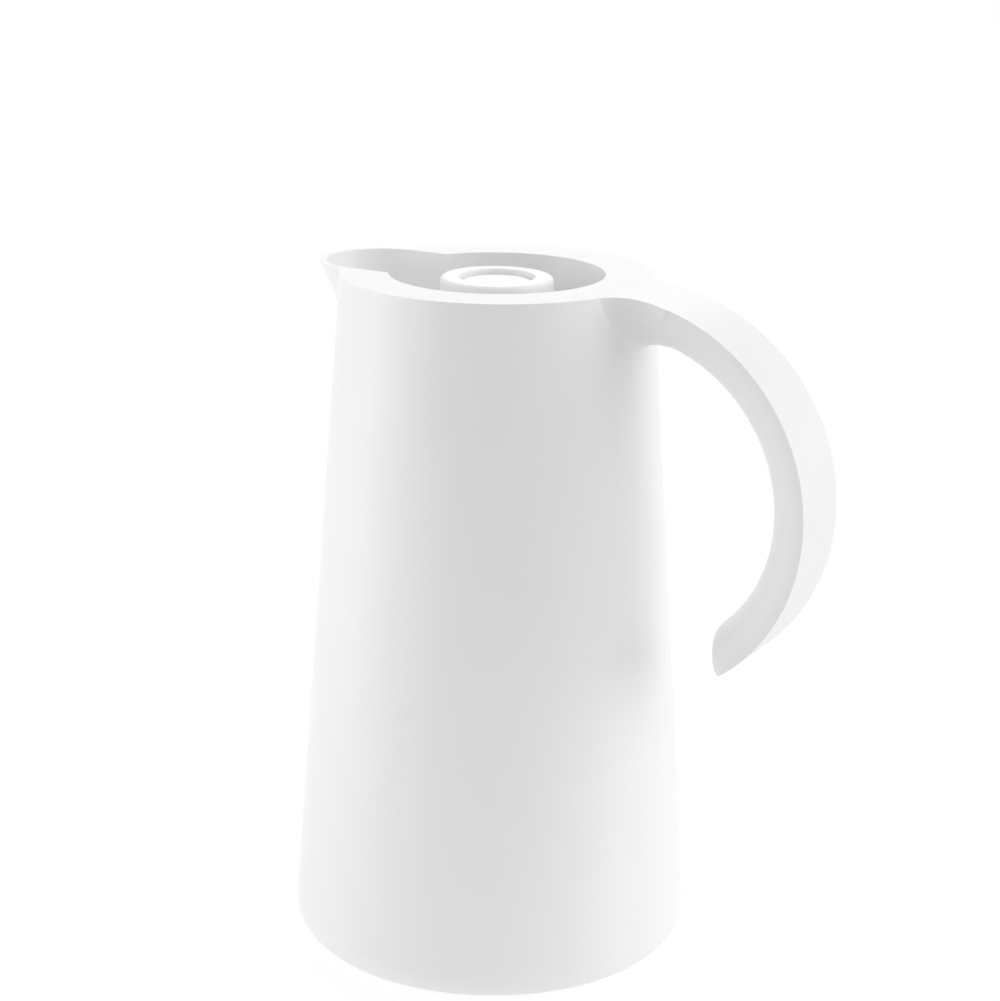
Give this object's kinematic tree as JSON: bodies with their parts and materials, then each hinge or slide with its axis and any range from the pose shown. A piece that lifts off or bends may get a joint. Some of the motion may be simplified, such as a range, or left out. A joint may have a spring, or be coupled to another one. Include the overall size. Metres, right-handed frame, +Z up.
{
  "type": "thermal jug",
  "caption": "White glass-lined thermal jug with a conical body, a rounded beak, an open hook handle and a round push-button stopper set low in the well of its flat rim.",
  "frame": {"origin": "centre of the base, on the surface that the jug stands on, on the axis of the conical body", "axes": "+Z up along the body's axis, +X towards the handle, -X towards the beak, +Y to the side"},
  "size_m": [0.1915, 0.1402, 0.2404],
  "materials": {
    "shell_plastic": "fine matte",
    "insert_plastic": "fine matte",
    "stopper_plastic": "smooth matte",
    "liner_glass": "glass, silvered on the vacuum side",
    "silicone": "smooth",
    "foam": "open foam",
    "cushion_rubber": "matte",
    "foot_rubber": "matte",
    "steel": "fine brushed"
  },
  "bodies": {
    "jug": {"outer_shell": "shell_plastic", "pour_insert": "insert_plastic", "neck_gasket": "silicone", "liner_outer": "liner_glass", "liner_inner": "liner_glass", "liner_pads": "foam", "foam_ring": "foam", "bottom_cushion": "cushion_rubber", "base_cover": "shell_plastic", "base_seal": "silicone", "foot_ring": "foot_rubber"},
    "seal": {"neck_seal": "silicone"},
    "stopper": {"stopper_cap": "stopper_plastic", "stopper_plug": "stopper_plastic", "cap_seal": "silicone", "stem_seal": "silicone", "spring_seat": "steel", "button_spring": "steel"},
    "button": {"push_button": "stopper_plastic", "valve_stem": "steel", "valve_disc": "stopper_plastic", "valve_gasket": "silicone", "stem_nut": "steel"}
  },
  "joints": [
    {"name": "stopper_lift", "type": "slide", "parent": "jug", "child": "seal", "axis": [0, 0, 1], "range_m": [0, 0.06]},
    {"name": "stopper_turn", "type": "hinge", "parent": "seal", "child": "stopper", "pos_m": [0, 0, 0.2], "axis": [0, 0, 1], "range_deg": [-60, 0]},
    {"name": "button_press", "type": "slide", "parent": "stopper", "child": "button", "axis": [0, 0, -1], "range_m": [0, 0.004], "stiffness_N_per_m": 1000, "springref_m": -0.004, "deforming": ["button_spring"]}
  ]
}
